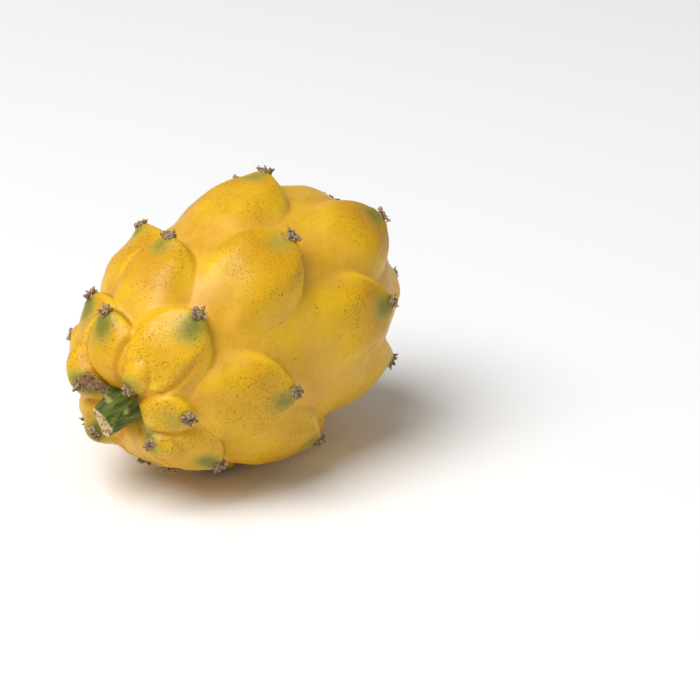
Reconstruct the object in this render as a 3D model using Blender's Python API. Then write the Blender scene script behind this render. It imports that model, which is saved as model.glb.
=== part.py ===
"""Yellow dragon fruit, picked, lying on its side with the stem end towards -X.

The fruit is one closed solid: a blunt barrel of revolution that carries about
thirty scale-like tubercles. Each tubercle is a cushion that swells on the stem
side of its tip and drops steeply on the flower side. The dry pieces are solids
of their own: the cut stem stub, a dry bract, one spine cushion on each tip and
the flower scar. Lengths are in metres and angles in degrees.
"""
import math

import bmesh
import bpy
import numpy as np
from mathutils import Matrix, Vector
from mathutils.bvhtree import BVHTree

# The body between its tubercles
HALF_LENGTH = 0.0495
VALLEY_RADIUS = 0.0328
PITCH = 8.5                  # the flower end is higher than the stem end
END_ROUNDING = 0.90          # exponents under 1 make the ends blunter than an ellipse
SIDE_ROUNDING = 0.85
STEM_TAPER = 0.045           # the stem end is slimmer by this share
UNDER_TUCK = 0.12            # the belly is drawn in below the stem by this share
STEM_HOLLOW_DEPTH = 0.0055
STEM_HOLLOW_RADIUS = 0.0066
FLOWER_HOLLOW_DEPTH = 0.0045
FLOWER_HOLLOW_RADIUS = 0.0075

# One tubercle of full size
CUSHION_HEIGHT = 0.0046      # rise of a tubercle above the valleys
BEAK_HEIGHT = 0.0006         # small knob under each spine cushion
CUSHION_LENGTH = 0.031       # from the tip back towards the stem
CUSHION_HALF_WIDTH = 0.0150
TIP_REACH = 0.0026           # how far a tubercle goes on past its spine cushion
ARCH_LENGTH = 0.0052         # how soon a tubercle reaches its full width
SHOULDER_NEAR = 0.0034       # width of the rounded shoulder at the tip
SHOULDER_FAR = 0.0100        # and at the foot
BEAK_RADIUS = 0.0034
FOOT_NARROWING = 0.30        # share of its width that a tubercle loses towards its foot
SHOULDER_FADE = 0.009        # distance over which the shoulder turns from crisp to soft
LEAST_RING_RADIUS = 0.0125   # near the poles a tubercle keeps its share of the turn
BLEND = 0.00045              # rounding where two tubercles meet
POLE_FADE_RADIUS = 0.0068    # the tubercles run out towards both poles

# One lobe of the collar round the stem, a knob that leans over the hollow
COLLAR_HEIGHT = 0.0056
COLLAR_RADIUS = 0.0078
COLLAR_STATION = 25          # tubercles nearer the stem than this are collar lobes
RESTING_TIP = 0.0020         # a tip lower than this has worn its cushion off
REST_PRESS = 0.0016          # depth of the flat spots that the fruit rests on

# Ribs of tubercles: (station from the stem pole, turn from the top towards -Y, size)
RIBS = (
    ((17, -62, 1.15), (50, -40, 0.85), (82, -37, 0.95), (124, -40, 0.90)),
    ((39, -19, 0.85), (71, -6, 0.95), (111, -4, 1.05), (157, -10, 0.40)),
    ((12, 28, 0.85), (51, 34, 1.00), (90, 34, 1.10), (137, 46, 0.95)),
    ((30, 86, 0.80), (68, 89, 1.05), (112, 80, 1.00), (156, 98, 0.45)),
    ((16, 124, 1.00), (47, 130, 0.95), (84, 130, 0.95), (127, 130, 0.85)),
    ((40, 168, 0.50), (70, 168, 0.42), (104, 166, 1.08), (150, 172, 0.55)),
    ((17, 230, 1.00), (52, 201, 0.60), (93, 196, 0.98), (131, 206, 0.85)),
    ((40, 238, 0.80), (70, 240, 0.95), (108, 240, 0.95), (155, 250, 0.45)),
    ((54, 281, 0.90), (93, 279, 1.00), (138, 284, 0.90)),
)

GRID_RINGS = 46
GRID_SEGMENTS = 72
POLE_MARGIN = 2.6            # first and last ring of the grid, from the pole
GAP = 0.0003                 # between pieces that touch

# Dry pieces
SPINE_CUSHION_RADIUS = 0.0020
SPINE_CUSHION_HEIGHT = 0.0017
SPINE_CUSHION_LEAN = 0.45    # share by which the cushion leans towards the flower end
STEM_BASE_HALF = (0.0050, 0.0058)
STEM_END_HALF = (0.0020, 0.0044)
STEM_LENGTH = 0.0085
STEM_TURN = 35               # turn of the stub's wide side about the axis
BRACT_STATIONS = (8.5, 17.0)
BRACT_TURNS = (-62.0, -26.0)
BRACT_THICKNESS = 0.0006
SCAR_RADIUS = 0.0052
SCAR_HEIGHT = 0.0026


def body_axes():
    """Axis from stem to flower, and the two directions across it: up and -Y."""
    pitch = math.radians(PITCH)
    along = np.array([math.cos(pitch), 0.0, math.sin(pitch)])
    up = np.array([-math.sin(pitch), 0.0, math.cos(pitch)])
    side = np.array([0.0, -1.0, 0.0])
    return along, up, side


def rounded(value, exponent):
    """Signed power, the rounding of a superellipse."""
    return np.sign(value) * np.abs(value) ** exponent


def ring_radius(station, turn):
    """Radius of the body between the tubercles, at angles in radians."""
    radius = VALLEY_RADIUS * rounded(np.sin(station), SIDE_ROUNDING)
    radius = radius * (1.0 - STEM_TAPER * np.cos(station))
    belly = np.clip(-np.cos(turn - math.radians(-20.0)), 0.0, 1.0)
    near_stem = np.exp(-((station - math.radians(32.0)) / math.radians(24.0)) ** 2)
    return radius * (1.0 - UNDER_TUCK * belly * near_stem)


def body_point(station, turn):
    """Points of the smooth body, without tubercles or hollows."""
    along, up, side = body_axes()
    reach = -HALF_LENGTH * rounded(np.cos(station), END_ROUNDING)
    radius = ring_radius(station, turn)
    around = np.cos(turn)[..., None] * up + np.sin(turn)[..., None] * side
    return reach[..., None] * along + radius[..., None] * around


def body_normal(station, turn):
    """Outward unit normal of the smooth body."""
    step = 1e-3
    station = np.clip(station, 4 * step, math.pi - 4 * step)
    across = body_point(station, turn + step) - body_point(station, turn - step)
    down = body_point(station + step, turn) - body_point(station - step, turn)
    normal = np.cross(down, across)
    length = np.linalg.norm(normal, axis=-1, keepdims=True)
    return -normal / length


def meridian_table():
    """Length along a meridian from the stem pole, against the station angle."""
    stations = np.linspace(0.0, math.pi, 721)
    points = body_point(stations, np.full_like(stations, math.radians(90.0)))
    steps = np.linalg.norm(np.diff(points, axis=0), axis=1)
    return stations, np.concatenate([[0.0], np.cumsum(steps)])


def smooth_step(value):
    """Ramp from 0 to 1 with level ends."""
    value = np.clip(value, 0.0, 1.0)
    return value * value * (3.0 - 2.0 * value)


def tubercle_height(behind, across, size):
    """Height of one tubercle: a broad cushion that ends in a crisp, blunt shoulder past its tip."""
    length = CUSHION_LENGTH * (0.45 + 0.55 * size)
    reach = np.clip(behind + TIP_REACH, 0.0, None)
    back = np.clip(behind, 0.0, None)
    half = CUSHION_HALF_WIDTH * size ** 0.6
    fade = np.exp(-reach / ARCH_LENGTH)
    width = half * (1.0 - fade) * (1.0 - FOOT_NARROWING * smooth_step(behind / length - 0.45))
    slope = half / ARCH_LENGTH * fade
    inside = (width - np.abs(across)) / np.sqrt(1.0 + slope * slope)
    soft = SHOULDER_NEAR + (SHOULDER_FAR - SHOULDER_NEAR) * smooth_step(back / (0.45 * length))
    share = np.clip(inside / soft, 0.0, 1.0)
    crisp = np.exp(-back / SHOULDER_FADE)
    shoulder = crisp * (1.0 - (1.0 - share) ** 2.2) + (1.0 - crisp) * smooth_step(share)
    rise = smooth_step((length - behind) / (0.72 * length))
    beak = np.exp(-((behind ** 2 + across ** 2) / BEAK_RADIUS ** 2))
    return size * shoulder * (CUSHION_HEIGHT * rise + BEAK_HEIGHT * beak)


def collar_height(behind, across, size):
    """Height of one collar lobe, which swells on the flower side of its tip."""
    beyond = np.where(behind > -0.002, (behind + 0.002) / 0.72, (behind + 0.002) / 1.90)
    share = np.hypot(beyond, across) / (COLLAR_RADIUS * size)
    return COLLAR_HEIGHT * size * np.clip(1.0 - share ** 2, 0.0, None) ** 1.4


def tubercles():
    """Every tubercle as station and turn in radians, and its size."""
    rows = []
    for rib in RIBS:
        for station, turn, size in rib:
            rows.append((math.radians(station), math.radians(turn), size))
    return rows


def skin_height(station, turn):
    """Height of the skin above the smooth body, tubercles blended together."""
    stations, lengths = meridian_table()
    place = np.interp(station, stations, lengths)
    radius = np.maximum(ring_radius(station, turn), LEAST_RING_RADIUS)
    total = np.ones_like(station)
    for tip_station, tip_turn, size in tubercles():
        behind = np.interp(tip_station, stations, lengths) - place
        swing = (turn - tip_turn + math.pi) % (2.0 * math.pi) - math.pi
        shape = collar_height if tip_station < math.radians(COLLAR_STATION) else tubercle_height
        height = shape(behind, radius * swing, size)
        total = total + np.exp(height / BLEND) - 1.0
    fade = smooth_step(ring_radius(station, turn) / POLE_FADE_RADIUS)
    return fade * BLEND * np.log(total)


def skin_point(station, turn):
    """Points of the finished skin."""
    along = body_axes()[0]
    points = body_point(station, turn)
    points = points + skin_height(station, turn)[..., None] * body_normal(station, turn)
    radius = ring_radius(station, turn)
    stem_side = np.cos(station) > 0.0
    stem_dip = STEM_HOLLOW_DEPTH * np.exp(-(radius / STEM_HOLLOW_RADIUS) ** 2)
    flower_dip = -FLOWER_HOLLOW_DEPTH * np.exp(-(radius / FLOWER_HOLLOW_RADIUS) ** 2)
    dip = np.where(stem_side, stem_dip, flower_dip)
    return points + dip[..., None] * along


def skin_grid(rings, segments):
    """Grid angles with the nearest grid point moved onto each tubercle's tip."""
    margin = math.radians(POLE_MARGIN)
    station, turn = np.meshgrid(
        np.linspace(margin, math.pi - margin, rings),
        np.linspace(0.0, 2.0 * math.pi, segments, endpoint=False),
        indexing="ij",
    )
    ring_step = (math.pi - 2.0 * margin) / (rings - 1)
    turn_step = 2.0 * math.pi / segments
    for tip_station, tip_turn, size in tubercles():
        ring = int(round((tip_station - margin) / ring_step))
        segment = int(round(tip_turn / turn_step))
        station[ring, segment % segments] = tip_station
        turn[ring, segment % segments] = tip_turn
    return station, turn


def skin_mesh(rings, segments):
    """Closed triangle mesh of the fruit, before it is set on the floor."""
    station, turn = skin_grid(rings, segments)
    points = skin_point(station, turn)
    poles = skin_point(np.array([0.0, math.pi]), np.zeros(2))
    bm = bmesh.new()
    rows = [[bm.verts.new(point) for point in row] for row in points]
    stem_pole = bm.verts.new(poles[0])
    flower_pole = bm.verts.new(poles[1])
    for segment in range(segments):
        after = (segment + 1) % segments
        bm.faces.new((stem_pole, rows[0][segment], rows[0][after]))
        bm.faces.new((flower_pole, rows[-1][after], rows[-1][segment]))
        for ring in range(rings - 1):
            bm.faces.new((rows[ring][segment], rows[ring + 1][segment],
                          rows[ring + 1][after], rows[ring][after]))
    bmesh.ops.recalc_face_normals(bm, faces=bm.faces)
    return bm


def principled(name, colour, roughness):
    """Plain material of a dry or fresh part of the fruit."""
    material = bpy.data.materials.new(name)
    material.use_nodes = True
    shader = material.node_tree.nodes["Principled BSDF"]
    shader.inputs["Base Color"].default_value = (*colour, 1.0)
    shader.inputs["Roughness"].default_value = roughness
    shader.inputs["Metallic"].default_value = 0.0
    return material


def add_object(name, bm, material):
    """Named object from a bmesh, shaded smooth."""
    mesh = bpy.data.meshes.new(name)
    bm.to_mesh(mesh)
    bm.free()
    mesh.shade_smooth()
    mesh.materials.append(material)
    new_object = bpy.data.objects.new(name, mesh)
    bpy.context.scene.collection.objects.link(new_object)
    return new_object


def seat_on(tree, foot, direction, footprint):
    """Highest point of the skin under a footprint, measured along a direction."""
    start = 0.02
    heights = []
    for point in footprint:
        hit = tree.ray_cast(point + direction * start, -direction)[0]
        if hit is not None:
            heights.append((hit - foot).dot(direction))
    return max(heights)


def upright_frame(direction):
    """Two unit vectors across a direction, the first towards the fruit's top."""
    up = Vector(body_axes()[1])
    first = (up - direction * up.dot(direction)).normalized()
    return first, direction.cross(first)


def ringed_footprint(foot, direction, radius):
    """Sample points of a round footprint across a direction."""
    first, second = upright_frame(direction)
    points = [foot]
    for share in (0.35, 0.7, 1.0):
        for step in range(16):
            angle = math.tau * step / 16
            points.append(foot + share * radius * (first * math.cos(angle) + second * math.sin(angle)))
    return points


def spine_cushion(name, tree, station, turn, material):
    """Dry cushion on a tubercle's tip, a low lumpy dome with a flat underside."""
    angles = np.array([station]), np.array([turn])
    foot = Vector(skin_point(*angles)[0])
    outward = Vector(body_normal(*angles)[0])
    ahead = Vector((body_point(angles[0] + 1e-3, angles[1]) - body_point(*angles))[0]).normalized()
    direction = (outward + SPINE_CUSHION_LEAN * ahead).normalized()
    footprint = ringed_footprint(foot, direction, SPINE_CUSHION_RADIUS)
    foot = foot + direction * (seat_on(tree, foot, direction, footprint) + GAP)
    bm = bmesh.new()
    bmesh.ops.create_icosphere(bm, subdivisions=2, radius=1.0)
    first, second = upright_frame(direction)
    for vert in bm.verts:
        angle = math.atan2(vert.co.y, vert.co.x)
        lump = 1.0 - 0.10 + 0.10 * math.cos(5.0 * angle + 3.0 * turn)
        rise = max(vert.co.z, 0.0) * SPINE_CUSHION_HEIGHT
        spread = SPINE_CUSHION_RADIUS * lump * (1.0 if vert.co.z > -0.3 else 0.8)
        vert.co = foot + spread * (first * vert.co.x + second * vert.co.y) + direction * rise
    return add_object(name, bm, material)


def loft(bm, rings):
    """Closed solid through rings of equal count, with flat ends."""
    loops = [[bm.verts.new(point) for point in ring] for ring in rings]
    count = len(loops[0])
    for lower, upper in zip(loops, loops[1:]):
        for index in range(count):
            after = (index + 1) % count
            bm.faces.new((lower[index], lower[after], upper[after], upper[index]))
    bm.faces.new(loops[0])
    bm.faces.new(loops[-1])
    bmesh.ops.recalc_face_normals(bm, faces=bm.faces)


def stem_stub(tree, material):
    """Three-sided cut stem that narrows to a dry strip."""
    along = Vector(body_axes()[0])
    direction = -along
    pole = Vector(skin_point(np.zeros(1), np.zeros(1))[0])
    footprint = ringed_footprint(pole, direction, max(STEM_BASE_HALF) * 1.05)
    foot = pole + direction * (seat_on(tree, pole, direction, footprint) + GAP)
    up, side = upright_frame(direction)
    turn = math.radians(STEM_TURN)
    wide = up * math.cos(turn) + side * math.sin(turn)
    thin = direction.cross(wide)
    rings = []
    for share in (0.0, 0.3, 0.62, 0.88, 1.0):
        thin_half = STEM_BASE_HALF[0] + (STEM_END_HALF[0] - STEM_BASE_HALF[0]) * share ** 0.8
        wide_half = STEM_BASE_HALF[1] + (STEM_END_HALF[1] - STEM_BASE_HALF[1]) * share
        ring = []
        for step in range(18):
            angle = math.tau * step / 18
            three_sided = 1.0 - 0.12 * (1.0 - share) * (1.0 - math.cos(3.0 * angle))
            offset = thin * (thin_half * math.cos(angle)) + wide * (wide_half * math.sin(angle))
            ring.append(foot + offset * three_sided + direction * (share * STEM_LENGTH))
        rings.append(ring)
    bm = bmesh.new()
    loft(bm, rings)
    return add_object("stem_stub", bm, material)


def dry_bract(material):
    """Dry scale that lies on the collar beside the stem, of even thickness."""
    stations = np.radians(np.linspace(*BRACT_STATIONS, 5))
    turns = np.radians(np.linspace(*BRACT_TURNS, 5))
    station, turn = np.meshgrid(stations, turns, indexing="ij")
    middle = math.radians(sum(BRACT_TURNS) / 2.0)
    narrowing = 1.0 - 0.55 * (station - stations[0]) / (stations[-1] - stations[0])
    turn = middle + (turn - middle) * narrowing
    skin = skin_point(station, turn)
    normal = body_normal(station, turn)
    clear = GAP * 3.0
    sheets = [skin + normal * clear, skin + normal * (clear + BRACT_THICKNESS)]
    bm = bmesh.new()
    low, high = [[[bm.verts.new(point) for point in row] for row in sheet] for sheet in sheets]
    last = len(low) - 1
    for i in range(last):
        for j in range(last):
            bm.faces.new((low[i][j], low[i][j + 1], low[i + 1][j + 1], low[i + 1][j]))
            bm.faces.new((high[i][j], high[i + 1][j], high[i + 1][j + 1], high[i][j + 1]))
        for edge in (0, last):
            bm.faces.new((low[i][edge], low[i + 1][edge], high[i + 1][edge], high[i][edge]))
            bm.faces.new((low[edge][i], low[edge][i + 1], high[edge][i + 1], high[edge][i]))
    bmesh.ops.recalc_face_normals(bm, faces=bm.faces)
    return add_object("dry_bract", bm, material)


def flower_scar(tree, material):
    """Dry remnant of the flower, a shallow cup with a ragged rim."""
    direction = Vector(body_axes()[0])
    pole = Vector(skin_point(np.full(1, math.pi), np.zeros(1))[0])
    footprint = ringed_footprint(pole, direction, SCAR_RADIUS)
    foot = pole + direction * (seat_on(tree, pole, direction, footprint) + GAP)
    first, second = upright_frame(direction)
    profile = ((0.86, 0.0), (1.0, 0.35), (0.92, 1.0), (0.62, 0.78), (0.40, 0.30))
    rings = []
    for spread, rise in profile:
        ring = []
        for step in range(20):
            angle = math.tau * step / 20
            ragged = 1.0 + (0.10 * math.cos(7.0 * angle) if rise > 0.9 else 0.0)
            offset = (first * math.cos(angle) + second * math.sin(angle)) * (spread * SCAR_RADIUS)
            ring.append(foot + offset + direction * (rise * ragged * SCAR_HEIGHT))
        rings.append(ring)
    bm = bmesh.new()
    loft(bm, rings)
    return add_object("flower_scar", bm, material)


def floor_height(fruit):
    """Height of the floor in the frame of the body's middle."""
    return min(vert.co.z for vert in fruit.data.vertices) + REST_PRESS


def set_on_floor(pieces, fruit):
    """Move everything so that the box is centred and the fruit rests at z = 0."""
    corners = np.array([vert.co[:] for piece in pieces for vert in piece.data.vertices])
    middle = (corners.min(axis=0) + corners.max(axis=0)) / 2.0
    shift = Vector((-middle[0], -middle[1], -floor_height(fruit)))
    for piece in pieces:
        piece.data.transform(Matrix.Translation(shift))
    for vert in fruit.data.vertices:
        vert.co.z = max(vert.co.z, 0.0)
    print("body centre", tuple(round(value, 5) for value in shift))


def main():
    for leftover in list(bpy.data.objects):
        bpy.data.objects.remove(leftover)
    skin = principled("skin", (0.80, 0.47, 0.05), 0.42)
    green = principled("cut_stem", (0.16, 0.17, 0.03), 0.55)
    straw = principled("dry_spines", (0.28, 0.19, 0.10), 0.90)
    brown = principled("dry_flower", (0.20, 0.12, 0.06), 0.92)
    bm = skin_mesh(GRID_RINGS, GRID_SEGMENTS)
    bmesh.ops.triangulate(bm, faces=bm.faces)
    tree = BVHTree.FromBMesh(bm)
    fruit = add_object("fruit", bm, skin)
    pieces = [fruit, stem_stub(tree, green), dry_bract(brown), flower_scar(tree, brown)]
    lowest_tip = floor_height(fruit) + RESTING_TIP
    number = 0
    for station, turn, size in tubercles():
        tip = skin_point(np.array([station]), np.array([turn]))[0]
        if tip[2] > lowest_tip:
            number += 1
            pieces.append(spine_cushion(f"spine_cushion_{number:02d}", tree, station, turn, straw))
    set_on_floor(pieces, fruit)


main()
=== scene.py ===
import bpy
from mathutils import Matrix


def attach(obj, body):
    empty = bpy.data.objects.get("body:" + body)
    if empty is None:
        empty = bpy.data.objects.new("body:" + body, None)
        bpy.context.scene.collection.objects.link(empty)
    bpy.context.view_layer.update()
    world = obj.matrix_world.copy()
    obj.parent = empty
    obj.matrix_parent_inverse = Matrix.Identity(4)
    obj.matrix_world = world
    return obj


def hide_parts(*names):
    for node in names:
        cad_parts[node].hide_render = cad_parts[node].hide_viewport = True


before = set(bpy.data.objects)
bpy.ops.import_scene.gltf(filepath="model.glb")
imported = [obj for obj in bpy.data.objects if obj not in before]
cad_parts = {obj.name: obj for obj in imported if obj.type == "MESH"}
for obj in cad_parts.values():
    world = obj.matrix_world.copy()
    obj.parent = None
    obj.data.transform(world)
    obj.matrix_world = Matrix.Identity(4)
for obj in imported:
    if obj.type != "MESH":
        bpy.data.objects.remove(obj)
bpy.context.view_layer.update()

import math

import bpy
import numpy as np
from mathutils import Matrix, Vector, noise

# The fruit grows by the same rule as the solid it covers. Metres and degrees.
fruitShape = {
    "middle": (0.00381, -0.00086, 0.03544),   # middle of the body above the table
    "halfLength": 0.0495,
    "valleyRadius": 0.0328,
    "pitch": 8.5,                             # the flower end is the higher one
    "endRounding": 0.90,
    "sideRounding": 0.85,
    "stemTaper": 0.045,
    "underTuck": 0.12,
    "stemHollow": (0.0055, 0.0066),           # depth, radius
    "flowerHollow": (0.0045, 0.0075),
    "cushionHeight": 0.0046,
    "cushionLength": 0.031,
    "cushionHalfWidth": 0.0150,
    "tipReach": 0.0026,                       # how far a cushion goes on past its tuft
    "archLength": 0.0052,
    "soft": (0.0034, 0.0100),                 # width of the shoulder, by the tuft and at the foot
    "beakHeight": 0.0006,
    "beakRadius": 0.0034,
    "leastRingRadius": 0.0125,
    "blend": 0.00045,
    "poleFade": 0.0068,
    "collarHeight": 0.0056,
    "collarRadius": 0.0078,
    "collarStation": 25,
    "stemFolds": (-41, 4, 56, 104, 146, 200, 264),   # turns of the creases that run into the stem
    "ribs": (
        ((17, -62, 1.15), (50, -40, 0.85), (82, -37, 0.95), (124, -40, 0.90)),
        ((39, -19, 0.85), (71, -6, 0.95), (111, -4, 1.05), (157, -10, 0.40)),
        ((12, 28, 0.85), (51, 34, 1.00), (90, 34, 1.10), (137, 46, 0.95)),
        ((30, 86, 0.80), (68, 89, 1.05), (112, 80, 1.00), (156, 98, 0.45)),
        ((16, 124, 1.00), (47, 130, 0.95), (84, 130, 0.95), (127, 130, 0.85)),
        ((40, 168, 0.50), (70, 168, 0.42), (104, 166, 1.08), (150, 172, 0.55)),
        ((17, 230, 1.00), (52, 201, 0.60), (93, 196, 0.98), (131, 206, 0.85)),
        ((40, 238, 0.80), (70, 240, 0.95), (108, 240, 0.95), (155, 250, 0.45)),
        ((54, 281, 0.90), (93, 279, 1.00), (138, 284, 0.90)),
    ),
}


def deselectAll():
    if bpy.context.mode != "OBJECT":
        bpy.ops.object.mode_set(mode="OBJECT")
    bpy.ops.object.select_all(action="DESELECT")


def smoothStep(value):
    value = np.clip(value, 0.0, 1.0)
    return value * value * (3.0 - 2.0 * value)


def bell(value, width):
    return np.exp(-(value / width) ** 2)


# how the body grows
def bodyAxes():
    pitch = math.radians(fruitShape["pitch"])
    along = np.array([math.cos(pitch), 0.0, math.sin(pitch)])
    up = np.array([-math.sin(pitch), 0.0, math.cos(pitch)])
    side = np.array([0.0, -1.0, 0.0])
    return along, up, side


def ringRadius(station, turn):
    radius = fruitShape["valleyRadius"] * np.abs(np.sin(station)) ** fruitShape["sideRounding"]
    radius = radius * (1.0 - fruitShape["stemTaper"] * np.cos(station))
    belly = np.clip(-np.cos(turn - math.radians(-20.0)), 0.0, 1.0)
    nearStem = bell(station - math.radians(32.0), math.radians(24.0))
    return radius * (1.0 - fruitShape["underTuck"] * belly * nearStem)


def bodyPoint(station, turn):
    along, up, side = bodyAxes()
    cosine = np.cos(station)
    reach = -fruitShape["halfLength"] * np.sign(cosine) * np.abs(cosine) ** fruitShape["endRounding"]
    around = np.cos(turn)[..., None] * up + np.sin(turn)[..., None] * side
    return reach[..., None] * along + ringRadius(station, turn)[..., None] * around


def bodyNormal(station, turn):
    step = 1e-3
    station = np.clip(station, 4 * step, math.pi - 4 * step)
    across = bodyPoint(station, turn + step) - bodyPoint(station, turn - step)
    down = bodyPoint(station + step, turn) - bodyPoint(station - step, turn)
    normal = np.cross(across, down)
    return normal / np.linalg.norm(normal, axis=-1, keepdims=True)


def meridianTable():
    stations = np.linspace(0.0, math.pi, 721)
    points = bodyPoint(stations, np.full_like(stations, math.radians(90.0)))
    steps = np.linalg.norm(np.diff(points, axis=0), axis=1)
    return stations, np.concatenate([[0.0], np.cumsum(steps)])


def tubercleInside(behind, across, size):
    # distance from the margin, positive on the cushion
    length = fruitShape["cushionLength"] * (0.45 + 0.55 * size)
    reach = np.clip(behind + fruitShape["tipReach"], 0.0, None)
    half = fruitShape["cushionHalfWidth"] * size ** 0.6
    fade = np.exp(-reach / fruitShape["archLength"])
    width = half * (1.0 - fade) * (1.0 - 0.30 * smoothStep(behind / length - 0.45))
    slope = half / fruitShape["archLength"] * fade
    return (width - np.abs(across)) / np.sqrt(1.0 + slope * slope), length


def tubercleHeight(behind, across, size):
    inside, length = tubercleInside(behind, across, size)
    back = np.clip(behind, 0.0, None)
    softNear, softFar = fruitShape["soft"]
    soft = softNear + (softFar - softNear) * smoothStep(back / (0.45 * length))
    share = np.clip(inside / soft, 0.0, 1.0)
    crisp = np.exp(-back / 0.009)
    shoulder = crisp * (1.0 - (1.0 - share) ** 2.2) + (1.0 - crisp) * smoothStep(share)
    rise = smoothStep((length - behind) / (0.72 * length))
    beak = bell(np.hypot(behind, across), fruitShape["beakRadius"])
    return size * shoulder * (fruitShape["cushionHeight"] * rise + fruitShape["beakHeight"] * beak)


def collarHeight(behind, across, size):
    beyond = np.where(behind > -0.002, (behind + 0.002) / 0.72, (behind + 0.002) / 1.90)
    share = np.hypot(beyond, across) / (fruitShape["collarRadius"] * size)
    return fruitShape["collarHeight"] * size * np.clip(1.0 - share ** 2, 0.0, None) ** 1.4


def listTubercles():
    rows = []
    for rib in fruitShape["ribs"]:
        for station, turn, size in rib:
            rows.append((math.radians(station), math.radians(turn), size))
    return rows


tubercles = listTubercles()

reliefLook = {                 # finer than the solid: depth or height, then half width
    "fold": (0.00030, 0.00045),
    "crease": (0.00085, 0.0008),
    "rim": (0.00028, 0.0012),
    "rimInset": 0.0020,        # from the margin of a cushion
    "seat": (0.00045, 0.0034),         # the swelling that a tuft sits on
    "seatHollow": (0.0004, 0.0016),
    "seatLip": (0.00016, 0.0006),
    "lipRadius": 0.0026,
}
flushLook = {                  # green beside a tuft, and the dark line along a margin
    "strength": (0.45, 1.0),   # least and most
    "sway": 0.0012,
    "back": 0.0034,
    "length": 0.0046,
    "halfWidth": 0.0038,
    "collarRadius": 0.0042,
    "edgeInset": 0.0010,
    "edgeWidth": 0.0006,
    "edgeReach": 0.0034,
    "rimReach": 0.0090,
    "seed": 7,
}


def stemCreases(station, turn, radius):
    # deep folds between the lobes round the stem
    crease = np.zeros_like(station)
    begin = smoothStep((station - math.radians(5.0)) / math.radians(6.0))
    for index, middleTurn in enumerate(fruitShape["stemFolds"]):
        wander = 0.07 * np.sin(station * 9.0 + index * 2.0)
        swing = (turn - math.radians(middleTurn) - wander + math.pi) % (2.0 * math.pi) - math.pi
        end = math.radians(24.0 + 5.0 * (index % 3))
        run = begin * (1.0 - smoothStep((station - end) / math.radians(15.0)))
        crease = np.maximum(crease, bell(radius * swing, reliefLook["crease"][1]) * run)
    return crease


def growSkin(station, turn):
    # the skin's points, and the masks that its colour and relief follow
    stations, lengths = meridianTable()
    place = np.interp(station, stations, lengths)
    radius = ringRadius(station, turn)
    arm = np.maximum(radius, fruitShape["leastRingRadius"])
    dice = np.random.default_rng(flushLook["seed"])
    total = np.ones_like(station)
    best = np.zeros_like(station)
    second = np.zeros_like(station)
    nearest = np.full_like(station, 1.0)
    green = np.zeros_like(station)
    edge = np.zeros_like(station)
    rim = np.zeros_like(station)
    for tipStation, tipTurn, size in tubercles:
        behind = np.interp(tipStation, stations, lengths) - place
        swing = (turn - tipTurn + math.pi) % (2.0 * math.pi) - math.pi
        across = arm * swing
        collar = tipStation < math.radians(fruitShape["collarStation"])
        flush = dice.uniform(*flushLook["strength"])
        sway = dice.uniform(-flushLook["sway"], flushLook["sway"])
        if collar:
            height = collarHeight(behind, across, size)
            spot = bell(np.hypot(behind - 0.001, across), flushLook["collarRadius"])
            green = np.maximum(green, spot * (0.6 + 0.4 * flush))
        else:
            height = tubercleHeight(behind, across, size)
            inside = tubercleInside(behind, across, size)[0]
            spot = bell(behind - flushLook["back"], flushLook["length"])
            spot = spot * bell(across - sway, flushLook["halfWidth"])
            green = np.maximum(green, spot * flush)
            line = bell(inside - flushLook["edgeInset"], flushLook["edgeWidth"])
            edge = np.maximum(edge, line * bell(behind, flushLook["edgeReach"]) * flush)
            # rim: the raised ridge inside a cushion's margin; in the rind's colour it also carries a painted
            # highlight
            ridge = bell(inside - reliefLook["rimInset"], reliefLook["rim"][1])
            ridge = ridge * bell(np.clip(behind, 0.0, None), flushLook["rimReach"])
            rim = np.maximum(rim, ridge * size)
        nearest = np.minimum(nearest, np.hypot(behind, across))
        total = total + np.exp(height / fruitShape["blend"]) - 1.0
        second = np.maximum(second, np.minimum(height, best))
        best = np.maximum(best, height)
    height = fruitShape["blend"] * np.log(total)
    # fold: the groove where two cushions meet; with the stem creases it also carries a painted shade in the
    # rind's colour
    fold = bell(best - second, reliefLook["fold"][1]) * smoothStep(second / 0.0022)
    crease = stemCreases(station, turn, radius)
    height = height - reliefLook["fold"][0] * fold - reliefLook["crease"][0] * crease
    fold = np.maximum(fold, crease)
    height = height + reliefLook["rim"][0] * rim
    height = height + reliefLook["seat"][0] * bell(nearest, reliefLook["seat"][1])
    height = height - reliefLook["seatHollow"][0] * bell(nearest, reliefLook["seatHollow"][1])
    lip = bell(nearest - reliefLook["lipRadius"], reliefLook["seatLip"][1])
    height = height + reliefLook["seatLip"][0] * lip
    height = height * smoothStep(radius / fruitShape["poleFade"])
    along = bodyAxes()[0]
    points = bodyPoint(station, turn) + height[..., None] * bodyNormal(station, turn)
    stemDepth, stemRadius = fruitShape["stemHollow"]
    flowerDepth, flowerRadius = fruitShape["flowerHollow"]
    stemDip = stemDepth * bell(radius, stemRadius)
    flowerDip = -flowerDepth * bell(radius, flowerRadius)
    dip = np.where(np.cos(station) > 0.0, stemDip, flowerDip)
    points = points + dip[..., None] * along + np.array(fruitShape["middle"])
    hollow = np.where(np.cos(station) > 0.0, bell(radius, 0.0085), bell(radius, 0.0075))
    masks = {
        "cushion": np.clip(height / 0.0045, 0.0, 1.2),
        "fold": fold,
        "green": np.clip(green, 0.0, 1.0),
        "edge": np.clip(edge, 0.0, 1.0),
        "rim": np.clip(rim, 0.0, 1.0),
        "hollow": hollow,
    }
    return points, masks


skinLook = {
    "segments": 360,           # of the ball that the rind is shaped from
    "rings": 270,
    "swell": 0.00042,          # slow uneven swelling of the rind
    "swellSize": 0.0080,
    "ripple": 0.00010,
    "rippleSize": 0.0024,
}


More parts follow.
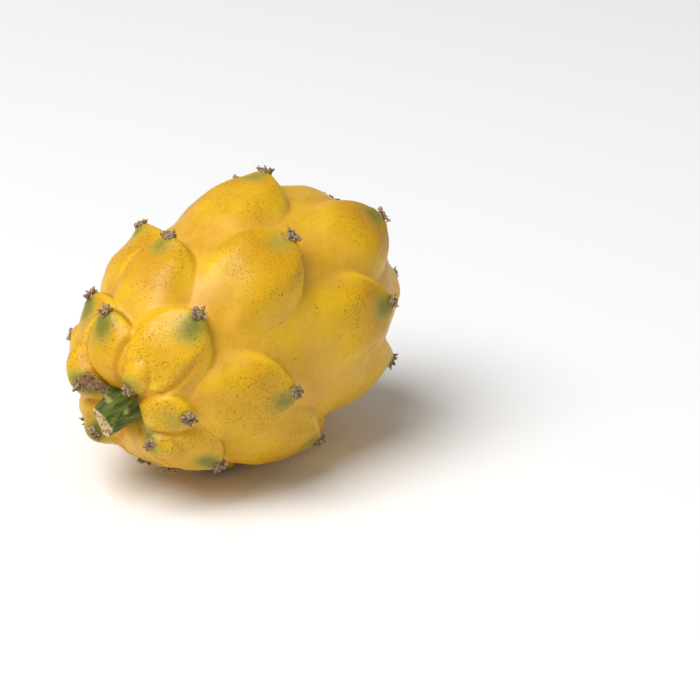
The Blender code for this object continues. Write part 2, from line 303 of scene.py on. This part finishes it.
def makeSkin():
    deselectAll()
    bpy.ops.mesh.primitive_uv_sphere_add(segments=skinLook["segments"], ring_count=skinLook["rings"])
    skin = bpy.context.object
    skin.name = "fruitSkin"
    mesh = skin.data
    flat = np.zeros(len(mesh.vertices) * 3, np.float32)
    mesh.vertices.foreach_get("co", flat)
    ball = flat.reshape(-1, 3).astype(float)
    station = np.arccos(np.clip(-ball[:, 2], -1.0, 1.0))
    turn = np.arctan2(ball[:, 1], ball[:, 0])
    points, masks = growSkin(station, turn)
    outward = bodyNormal(station, turn)
    uneven = np.zeros(len(points))
    for index, point in enumerate(points):
        slow = noise.noise(Vector(point) / skinLook["swellSize"])
        quick = noise.noise(Vector(point) / skinLook["rippleSize"] + Vector((7.0, 3.0, 1.0)))
        uneven[index] = skinLook["swell"] * slow + skinLook["ripple"] * quick
    points = points + (uneven * (1.0 - 0.7 * masks["hollow"]))[:, None] * outward
    points[:, 2] = np.maximum(points[:, 2], 0.0)
    mesh.vertices.foreach_set("co", points.astype(np.float32).ravel())
    for name, values in masks.items():
        layer = mesh.attributes.new(name, "FLOAT", "POINT")
        layer.data.foreach_set("value", values.astype(np.float32))
    mesh.update()
    bpy.ops.object.shade_smooth()
    return skin


# shader maths
class Wire:
    def __init__(self, tree, socket):
        self.tree = tree
        self.socket = socket

    def maths(self, operation, first, second):
        made = self.tree.nodes.new("ShaderNodeMath")
        made.operation = operation
        for slot, value in enumerate((first, second)):
            if isinstance(value, Wire):
                self.tree.links.new(value.socket, made.inputs[slot])
            else:
                made.inputs[slot].default_value = value
        return Wire(self.tree, made.outputs[0])

    def __add__(self, other):
        return self.maths("ADD", self, other)

    def __radd__(self, other):
        return self.maths("ADD", other, self)

    def __sub__(self, other):
        return self.maths("SUBTRACT", self, other)

    def __rsub__(self, other):
        return self.maths("SUBTRACT", other, self)

    def __mul__(self, other):
        return self.maths("MULTIPLY", self, other)

    def __rmul__(self, other):
        return self.maths("MULTIPLY", other, self)

    def above(self, low, high):
        # ramp from 0 at low to 1 at high
        made = self.tree.nodes.new("ShaderNodeMapRange")
        made.interpolation_type = "SMOOTHSTEP"
        made.inputs["From Min"].default_value = low
        made.inputs["From Max"].default_value = high
        self.tree.links.new(self.socket, made.inputs["Value"])
        return Wire(self.tree, made.outputs["Result"])


class Finish:
    # one material and the nodes put into it
    def __init__(self, name):
        self.material = bpy.data.materials.new(name)
        self.material.use_nodes = True
        self.tree = self.material.node_tree
        self.shader = self.tree.nodes["Principled BSDF"]
        self.place = self.node("ShaderNodeTexCoord", output="Object")

    def node(self, kind, settings=None, output=0, inputs=None):
        made = self.tree.nodes.new(kind)
        for name, value in (settings or {}).items():
            setattr(made, name, value)
        for name, value in (inputs or {}).items():
            if isinstance(value, Wire):
                self.tree.links.new(value.socket, made.inputs[name])
            else:
                made.inputs[name].default_value = value
        return Wire(self.tree, made.outputs[output])

    def mask(self, name):
        return self.node("ShaderNodeAttribute", {"attribute_name": name}, "Fac")

    def clouds(self, size, detail=3.0, roughness=0.55, distortion=0.0, place=None):
        inputs = {"Vector": place or self.place, "Scale": 1.0 / size, "Detail": detail,
                  "Roughness": roughness, "Distortion": distortion}
        return self.node("ShaderNodeTexNoise", None, "Fac", inputs)

    def cells(self, size, output="Distance"):
        inputs = {"Vector": self.place, "Scale": 1.0 / size}
        return self.node("ShaderNodeTexVoronoi", None, output, inputs)

    def mix(self, factor, under, over):
        settings = {"data_type": "RGBA", "clamp_factor": True}
        return self.node("ShaderNodeMix", settings, 2, {0: factor, 6: under, 7: over})

    def feed(self, socket, value):
        if isinstance(value, Wire):
            self.tree.links.new(value.socket, self.shader.inputs[socket])
        else:
            self.shader.inputs[socket].default_value = value

    def bump(self, height, distance, strength):
        inputs = {"Height": height, "Distance": distance, "Strength": strength}
        return self.node("ShaderNodeBump", None, 0, inputs)


def paint(red, green, blue):
    # screen colour, 0 to 255, as the linear colour that shaders use
    def straight(value):
        value = value / 255.0
        return value / 12.92 if value <= 0.04045 else ((value + 0.055) / 1.055) ** 2.4
    return straight(red), straight(green), straight(blue), 1.0


rindColours = {
    "gold": paint(234, 187, 12),
    "amber": paint(210, 154, 8),
    "paintedSheenPeach": paint(232, 178, 62),
    "paintedHighlightYellow": paint(248, 206, 30),
    "mottleAndShadeOrange": paint(196, 118, 10),
    "olive": paint(168, 154, 52),
    "green": paint(114, 118, 32),
    "darkEdge": paint(92, 84, 30),
    "freckle": paint(128, 92, 20),
    "spot": paint(84, 60, 16),
    "roughness": 0.42,
}


def rindFinish():
    rind = Finish("waxyRind")
    look = rindColours
    cushion = rind.mask("cushion")
    broad = rind.clouds(0.024, 2.0)
    middle = rind.clouds(0.007, 4.0, 0.6)
    small = rind.clouds(0.0016, 4.0, 0.65)
    colour = rind.mix(broad.above(0.35, 0.65), look["amber"], look["gold"])
    # painted sheen: a peach tint in the valleys between the cushions stands in for the waxy rind's reflection
    # of the pale room
    paintedSheenValleys = (1.0 - cushion.above(0.15, 0.75)) * middle.above(0.25, 0.65)
    colour = rind.mix(paintedSheenValleys * 0.65, colour, look["paintedSheenPeach"])
    # painted highlight: bright yellow along the raised rims of the cushions
    colour = rind.mix(rind.mask("rim") * 0.8, colour, look["paintedHighlightYellow"])
    # painted shade: orange in the folds and stem creases between the cushions
    colour = rind.mix(rind.mask("fold") * 0.40, colour, look["mottleAndShadeOrange"])
    # random orange mottling over the whole rind
    colour = rind.mix(small.above(0.45, 0.75) * 0.22, colour, look["mottleAndShadeOrange"])
    bulge = cushion.above(0.45, 1.0) * broad.above(0.30, 0.60)
    colour = rind.mix(bulge * 0.40, colour, look["amber"])
    # green flush beside each tuft
    flush = rind.mask("green") * (0.65 + 0.9 * middle)
    colour = rind.mix(flush.above(0.12, 0.62) * 0.75, colour, look["olive"])
    colour = rind.mix(flush.above(0.42, 0.95) * 0.85, colour, look["green"])
    margin = (rind.mask("edge") * (0.4 + 1.1 * small)).above(0.25, 0.85)
    colour = rind.mix(margin * 0.6, colour, look["darkEdge"])
    colour = rind.mix(rind.mask("hollow").above(0.35, 0.95) * 0.7, colour, look["olive"])
    # freckles: many fine ones on the cushions, a few larger ones all over
    crowd = cushion.above(0.20, 0.85) * (0.25 + 0.75 * rind.clouds(0.010, 2.0).above(0.34, 0.58))
    fine = (1.0 - rind.cells(0.00068).above(0.14, 0.42)) * crowd
    pickMiddle = rind.node("ShaderNodeSeparateColor", None, "Red", {"Color": rind.cells(0.0014, "Color")})
    medium = (1.0 - rind.cells(0.0014).above(0.12, 0.24)) * pickMiddle.above(0.25, 0.35)
    medium = medium * (0.35 + 0.65 * crowd)
    pickLarge = rind.node("ShaderNodeSeparateColor", None, "Green", {"Color": rind.cells(0.0034, "Color")})
    large = (1.0 - rind.cells(0.0034).above(0.04, 0.09)) * pickLarge.above(0.60, 0.65)
    colour = rind.mix(fine * 0.62, colour, look["freckle"])
    colour = rind.mix(medium * 0.65, colour, look["freckle"])
    colour = rind.mix(large * 0.75, colour, look["spot"])
    rind.feed("Base Color", colour)
    rind.feed("Roughness", look["roughness"] + 0.16 * (small - 0.5) + 0.10 * (middle - 0.5))
    rind.feed("Subsurface Weight", 0.06)
    rind.feed("Subsurface Radius", (0.0030, 0.0014, 0.0004))
    rind.feed("Subsurface Scale", 1.0)
    rind.feed("Specular IOR Level", 0.38)
    relief = 0.6 * small + 0.4 * rind.clouds(0.0005, 2.0) - 0.5 * fine - 0.6 * large
    rind.feed("Normal", rind.bump(relief, 0.00010, 0.55))
    return rind.material


# the dry pieces
def tipFrame(station, turn):
    # foot on the skin, and the direction that a tuft grows in
    spot = np.array([station]), np.array([turn])
    foot = Vector(growSkin(*spot)[0][0])
    outward = Vector(bodyNormal(*spot)[0])
    ahead = Vector((bodyPoint(spot[0] + 1e-3, spot[1]) - bodyPoint(*spot))[0]).normalized()
    return foot, (outward + tuftLook["lean"] * ahead).normalized()


tuftLook = {
    "radius": 0.0022,
    "height": 0.0017,
    "lean": 0.35,
    "bristles": 13,
    "bristleLength": 0.0012,
    "bristleWidth": 0.00052,
    "sink": 0.0005,
    "restingTip": 0.0020,      # a tip lower than this has worn its tuft off
    "seed": 21,
}


def moveVertices(piece, rule):
    for vertex in piece.data.vertices:
        vertex.co = rule(vertex.co.copy())


def joinPieces(pieces, name):
    deselectAll()
    for piece in pieces:
        piece.select_set(True)
    bpy.context.view_layer.objects.active = pieces[0]
    bpy.ops.object.join()
    joined = bpy.context.object
    joined.name = name
    return joined


def makeTuft(number, station, turn):
    dice = np.random.default_rng(tuftLook["seed"] + number)
    foot, direction = tipFrame(station, turn)
    offset = Vector((number * 1.7, number * 0.9, 3.0))
    deselectAll()
    bpy.ops.mesh.primitive_ico_sphere_add(subdivisions=4, radius=1.0)
    mound = bpy.context.object

    def crumple(point):
        lump = noise.noise(point * 1.6 + offset) * 0.30 + noise.noise(point * 4.5 + offset) * 0.22
        groove = abs(noise.noise(point * 3.0 - offset)) * 0.35
        spread = tuftLook["radius"] * (0.80 + lump - groove * 0.4)
        rise = tuftLook["height"] * (0.78 + lump * 1.3 - groove)
        return Vector((point.x * spread, point.y * spread, max(point.z, -0.35) * rise))

    moveVertices(mound, crumple)
    pieces = [mound]
    for index in range(tuftLook["bristles"]):
        angle = index * 2.4 + dice.uniform(-0.4, 0.4)
        reach = tuftLook["radius"] * dice.uniform(0.15, 0.85)
        length = tuftLook["bristleLength"] * dice.uniform(0.6, 1.15)
        width = tuftLook["bristleWidth"] * dice.uniform(0.7, 1.5)
        bpy.ops.mesh.primitive_cone_add(vertices=7, radius1=width, radius2=width * 0.25, depth=length)
        bristle = bpy.context.object
        bpy.ops.object.mode_set(mode="EDIT")
        bpy.ops.mesh.subdivide(number_cuts=2)
        bpy.ops.object.mode_set(mode="OBJECT")
        tilt = Matrix.Rotation(dice.uniform(0.35, 1.25), 4, Vector((-math.sin(angle), math.cos(angle), 0.0)))
        curl = dice.uniform(-0.5, 0.5) / length
        stand = Vector((math.cos(angle) * reach, math.sin(angle) * reach, tuftLook["height"] * 0.50))

        def place(point):
            lifted = point.z + length * 0.5
            bent = Vector((point.x + curl * lifted * lifted, point.y, lifted))
            bent.x += noise.noise(bent * 2500.0 + offset) * width * 0.6
            return tilt @ bent + stand

        moveVertices(bristle, place)
        pieces.append(bristle)
    tuft = joinPieces(pieces, f"spineTuft_{number:02d}")
    turnTo = direction.to_track_quat("Z", "Y").to_matrix().to_4x4()
    seat = foot - direction * tuftLook["sink"]
    tuft.data.transform(Matrix.Translation(seat) @ turnTo)
    for vertex in tuft.data.vertices:
        vertex.co.z = max(vertex.co.z, 0.0002)
    bpy.ops.object.shade_smooth()
    return tuft


def dryFinish(name, pale, dark, size):
    dry = Finish(name)
    grain = dry.clouds(size, 5.0, 0.7)
    streaks = dry.clouds(size * 3.5, 3.0, 0.6, 1.5)
    colour = dry.mix(grain.above(0.34, 0.62), dark, pale)
    colour = dry.mix(streaks.above(0.52, 0.75) * 0.5, colour, paint(70, 48, 30))
    dry.feed("Base Color", colour)
    dry.feed("Roughness", 0.75 + 0.3 * (grain - 0.5))
    dry.feed("Specular IOR Level", 0.25)
    dry.feed("Normal", dry.bump(grain, 0.00025, 0.9))
    return dry.material


stemLook = {
    "baseHalf": (0.0050, 0.0058),
    "endHalf": (0.0015, 0.0043),
    "length": 0.0085,
    "turn": 35,
    "foot": 0.0012,
}


def axisFrame(direction):
    up = Vector(bodyAxes()[1])
    first = (up - direction * up.dot(direction)).normalized()
    return first, direction.cross(first)


def makeStem():
    deselectAll()
    bpy.ops.mesh.primitive_cylinder_add(vertices=72, radius=1.0, depth=1.0, end_fill_type="TRIFAN")
    stem = bpy.context.object
    stem.name = "stemStub"
    bpy.ops.object.mode_set(mode="EDIT")
    bpy.ops.mesh.select_all(action="SELECT")
    bpy.ops.mesh.subdivide(number_cuts=7)
    bpy.ops.object.mode_set(mode="OBJECT")
    direction = -Vector(bodyAxes()[0])
    up, side = axisFrame(direction)
    angleOut = math.radians(stemLook["turn"])
    wide = up * math.cos(angleOut) + side * math.sin(angleOut)
    thin = direction.cross(wide)
    middle = Vector(fruitShape["middle"])
    reach = max((Vector(vertex.co) - middle).dot(direction)
                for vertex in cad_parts["stem_stub"].data.vertices)
    foot = middle + direction * (reach - stemLook["length"] - stemLook["foot"])
    length = stemLook["length"] + stemLook["foot"]
    cut = []

    def shape(point):
        share = point.z + 0.5
        radius = math.hypot(point.x, point.y)
        angle = math.atan2(point.y, point.x)
        thinHalf = stemLook["baseHalf"][0] + (stemLook["endHalf"][0] - stemLook["baseHalf"][0]) * share ** 0.8
        wideHalf = stemLook["baseHalf"][1] + (stemLook["endHalf"][1] - stemLook["baseHalf"][1]) * share
        facet = (angle + 0.5) % (2.0 * math.pi / 3.0) - math.pi / 3.0
        flat = 0.62 / math.cos(facet) + 0.10 * abs(facet)
        corner = flat + (0.93 - flat) * (0.25 + 0.45 * share)
        offset = thin * (thinHalf * math.cos(angle)) + wide * (wideHalf * math.sin(angle))
        spot = foot + offset * (corner * radius) + direction * (share * length)
        rough = noise.noise(spot * 900.0) * 0.00012 + noise.noise(spot * 300.0) * 0.00030
        cut.append(float(smoothStep((share - 0.93) / 0.05)))
        if share > 0.99:
            rough = rough * 1.6 - 0.0006 * max(0.0, 1.0 - radius) ** 0.5
            return spot + direction * rough
        return spot + offset.normalized() * rough

    moveVertices(stem, shape)
    bpy.ops.object.mode_set(mode="EDIT")
    bpy.ops.mesh.select_all(action="SELECT")
    bpy.ops.mesh.normals_make_consistent(inside=False)
    bpy.ops.object.mode_set(mode="OBJECT")
    layer = stem.data.attributes.new("cut", "FLOAT", "POINT")
    layer.data.foreach_set("value", np.array(cut, np.float32))
    bpy.ops.object.shade_smooth_by_angle(angle=math.radians(40))
    return stem


def stemFinish():
    stem = Finish("cutStem")
    lengthways = (0.0, -math.radians(fruitShape["pitch"]), 0.0)
    mapping = {"Vector": stem.place, "Rotation": lengthways, "Scale": (14.0, 1.0, 1.0)}
    stretch = stem.node("ShaderNodeMapping", {"vector_type": "TEXTURE"}, 0, mapping)
    fibres = stem.clouds(0.0011, 3.0, 0.5, 0.0, stretch)
    patch = stem.clouds(0.004, 3.0)
    colour = stem.mix(fibres.above(0.36, 0.70), paint(58, 70, 18), paint(104, 116, 40))
    colour = stem.mix(patch.above(0.50, 0.62) * 0.75, colour, paint(168, 166, 92))
    cut = stem.mask("cut")
    pits = stem.cells(0.0011)
    tan = stem.mix(pits.above(0.10, 0.42), paint(110, 78, 46), paint(214, 186, 136))
    tan = stem.mix(stem.clouds(0.0022, 4.0).above(0.52, 0.66) * 0.8, tan, paint(120, 86, 50))
    colour = stem.mix((cut + 0.35 * (fibres - 0.5)).above(0.35, 0.6), colour, tan)
    stem.feed("Base Color", colour)
    stem.feed("Roughness", 0.48 + 0.3 * cut)
    stem.feed("Normal", stem.bump(fibres + 0.6 * pits * cut, 0.00018, 0.7))
    return stem.material


scarLook = {
    "radius": 0.0051,
    "wall": 0.0006,
}


def makeScar():
    # dry cup left by the flower, with a torn papery rim
    deselectAll()
    bpy.ops.mesh.primitive_circle_add(vertices=120, radius=1.0, fill_type="TRIFAN")
    scar = bpy.context.object
    scar.name = "flowerScar"
    bpy.ops.object.mode_set(mode="EDIT")
    bpy.ops.mesh.select_all(action="SELECT")
    bpy.ops.mesh.subdivide(number_cuts=11)
    bpy.ops.object.mode_set(mode="OBJECT")
    direction = Vector(bodyAxes()[0])
    first, second = axisFrame(direction)
    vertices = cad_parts["flower_scar"].data.vertices
    middle = Vector(fruitShape["middle"])
    depths = [(vertex.co - middle).dot(direction) for vertex in vertices]
    foot = middle + direction * min(depths)
    height = max(depths) - min(depths)

    def shape(point):
        radius = math.hypot(point.x, point.y)
        angle = math.atan2(point.y, point.x)
        torn = noise.noise(Vector((math.cos(angle), math.sin(angle), 0.2)) * 3.2)
        ragged = noise.noise(Vector((math.cos(angle), math.sin(angle), 0.7)) * 11.0)
        wall = smoothStep((radius - 0.42) / 0.30) * (1.0 - smoothStep((radius - 0.80) / 0.20))
        rise = 0.28 + (0.62 + 0.28 * torn + 0.20 * ragged) * wall - 0.30 * smoothStep((radius - 0.86) / 0.14)
        rise += 0.10 * noise.noise(Vector((point.x, point.y, 0.0)) * 6.0)
        folds = 1.0 + 0.03 * math.sin(angle * 9.0 + 4.0 * torn)
        spread = scarLook["radius"] * radius * folds
        aside = first * math.cos(angle) + second * math.sin(angle)
        return foot + aside * spread + direction * (rise * height)

    moveVertices(scar, shape)
    thick = scar.modifiers.new("thick", "SOLIDIFY")
    thick.thickness = scarLook["wall"]
    thick.offset = -1.0
    bpy.ops.object.modifier_apply(modifier="thick")
    bpy.ops.object.shade_smooth()
    return scar


bractLook = {
    "station": (8.5, 8.5),     # degrees from the stem's pole: where it begins, and how far it goes on
    "turn": (-44.0, 18.0),     # middle, and half width
    "wall": 0.0004,
}


def makeBract():
    # dry scale beside the stem, curled at its edges
    deselectAll()
    bpy.ops.mesh.primitive_grid_add(x_subdivisions=34, y_subdivisions=22, size=1.0)
    bract = bpy.context.object
    bract.name = "dryBract"
    coordinates = np.array([vertex.co[:] for vertex in bract.data.vertices])
    along = coordinates[:, 0] + 0.5
    aside = coordinates[:, 1] * 2.0
    station = np.radians(bractLook["station"][0] + bractLook["station"][1] * along)
    width = (1.0 - 0.55 * along) * (1.0 - 0.25 * (along > 0.9) * np.abs(aside))
    turn = np.radians(bractLook["turn"][0] + bractLook["turn"][1] * aside * width)
    points = growSkin(station, turn)[0]
    outward = bodyNormal(station, turn)
    curl = 0.0009 + 0.0005 * aside ** 2 + 0.0006 * smoothStep((along - 0.7) / 0.3)
    for index, vertex in enumerate(bract.data.vertices):
        spot = Vector(points[index])
        rough = noise.noise(spot * 900.0) * 0.0003 + noise.noise(spot * 2600.0) * 0.00012
        vertex.co = spot + Vector(outward[index]) * (float(curl[index]) + rough)
    thick = bract.modifiers.new("thick", "SOLIDIFY")
    thick.thickness = bractLook["wall"]
    bpy.ops.object.modifier_apply(modifier="thick")
    bpy.ops.object.shade_smooth()
    return bract


def giveMaterial(piece, material):
    piece.data.materials.clear()
    piece.data.materials.append(material)


def finishPiece(piece, node, material):
    giveMaterial(piece, material)
    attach(piece, "root")
    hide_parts(node)


print("skin")
skin = makeSkin()
finishPiece(skin, "fruit", rindFinish())

print("tufts")
tuftMaterial = dryFinish("drySpines", paint(196, 168, 128), paint(104, 80, 54), 0.0006)
number = 0
for station, turn, size in tubercles:
    nodeName = f"spine_cushion_{number + 1:02d}"
    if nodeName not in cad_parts:
        break
    tip = growSkin(np.array([station]), np.array([turn]))[0][0]
    if tip[2] > tuftLook["restingTip"]:
        number += 1
        finishPiece(makeTuft(number, station, turn), nodeName, tuftMaterial)

print("stem, bract and scar")
finishPiece(makeStem(), "stem_stub", stemFinish())
papery = dryFinish("dryPaper", paint(178, 140, 98), paint(98, 68, 44), 0.0011)
finishPiece(makeBract(), "dry_bract", papery)
finishPiece(makeScar(), "flower_scar", papery)

# table, light and camera
roomLook = {
    "table": 3.0,
    "skyStrength": 0.27,
    "backdrop": 0.66,                                 # a pale wall behind the table, seen but giving no light
    "keyLight": (47.0, 1.50, (-1.00, 0.28, 1.75)),    # watts, size, place
    "fillLight": (0.3, 0.70, (0.35, -0.85, 0.40)),
}


def makeTable():
    deselectAll()
    bpy.ops.mesh.primitive_plane_add(size=roomLook["table"])
    table = bpy.context.object
    table.name = "table"
    white = Finish("paleTable")
    white.feed("Base Color", (0.93, 0.93, 0.93, 1.0))
    white.feed("Roughness", 0.9)
    white.feed("Specular IOR Level", 0.1)
    giveMaterial(table, white.material)


def makeLight(name, watts, size, place):
    lamp = bpy.data.lights.new(name, "AREA")
    lamp.energy = watts
    lamp.size = size
    holder = bpy.data.objects.new(name, lamp)
    bpy.context.scene.collection.objects.link(holder)
    holder.location = place
    aim = Vector(fruitShape["middle"]) - Vector(place)
    holder.rotation_euler = aim.to_track_quat("-Z", "Y").to_euler()


cameraLook = {
    "azimuth": -54.0,
    "elevation": 22.0,
    "distance": 0.750,
    "frameWidth": 0.189,          # width of the view at the fruit
    "aimRight": 0.0297,           # the fruit lies left of the middle of the view
    "aimUp": -0.0062,
}


def makeCamera():
    azimuth = math.radians(cameraLook["azimuth"])
    elevation = math.radians(cameraLook["elevation"])
    back = Vector((math.sin(azimuth) * math.cos(elevation), -math.cos(azimuth) * math.cos(elevation),
                   math.sin(elevation)))
    right = Vector((math.cos(azimuth), math.sin(azimuth), 0.0))
    up = back.cross(right)
    lens = bpy.data.cameras.new("camera")
    lens.sensor_width = 36.0
    lens.lens = lens.sensor_width * cameraLook["distance"] / cameraLook["frameWidth"]
    lens.clip_start = 0.01
    camera = bpy.data.objects.new("camera", lens)
    bpy.context.scene.collection.objects.link(camera)
    target = Vector(fruitShape["middle"]) + right * cameraLook["aimRight"] + up * cameraLook["aimUp"]
    turned = Matrix((right, up, back)).transposed().to_4x4()
    camera.matrix_world = Matrix.Translation(target + back * cameraLook["distance"]) @ turned
    bpy.context.scene.camera = camera


print("table, light and camera")
makeTable()
makeLight("keyLight", *roomLook["keyLight"])
makeLight("fillLight", *roomLook["fillLight"])
world = bpy.data.worlds.new("room")
world.use_nodes = True
world.node_tree.nodes["Background"].inputs["Color"].default_value = (1.0, 1.0, 1.0, 1.0)
ray = world.node_tree.nodes.new("ShaderNodeLightPath")
sky = Wire(world.node_tree, ray.outputs["Is Camera Ray"]) * roomLook["backdrop"] + roomLook["skyStrength"]
world.node_tree.links.new(sky.socket, world.node_tree.nodes["Background"].inputs["Strength"])
bpy.context.scene.world = world
bpy.context.scene.view_settings.view_transform = "Standard"
makeCamera()
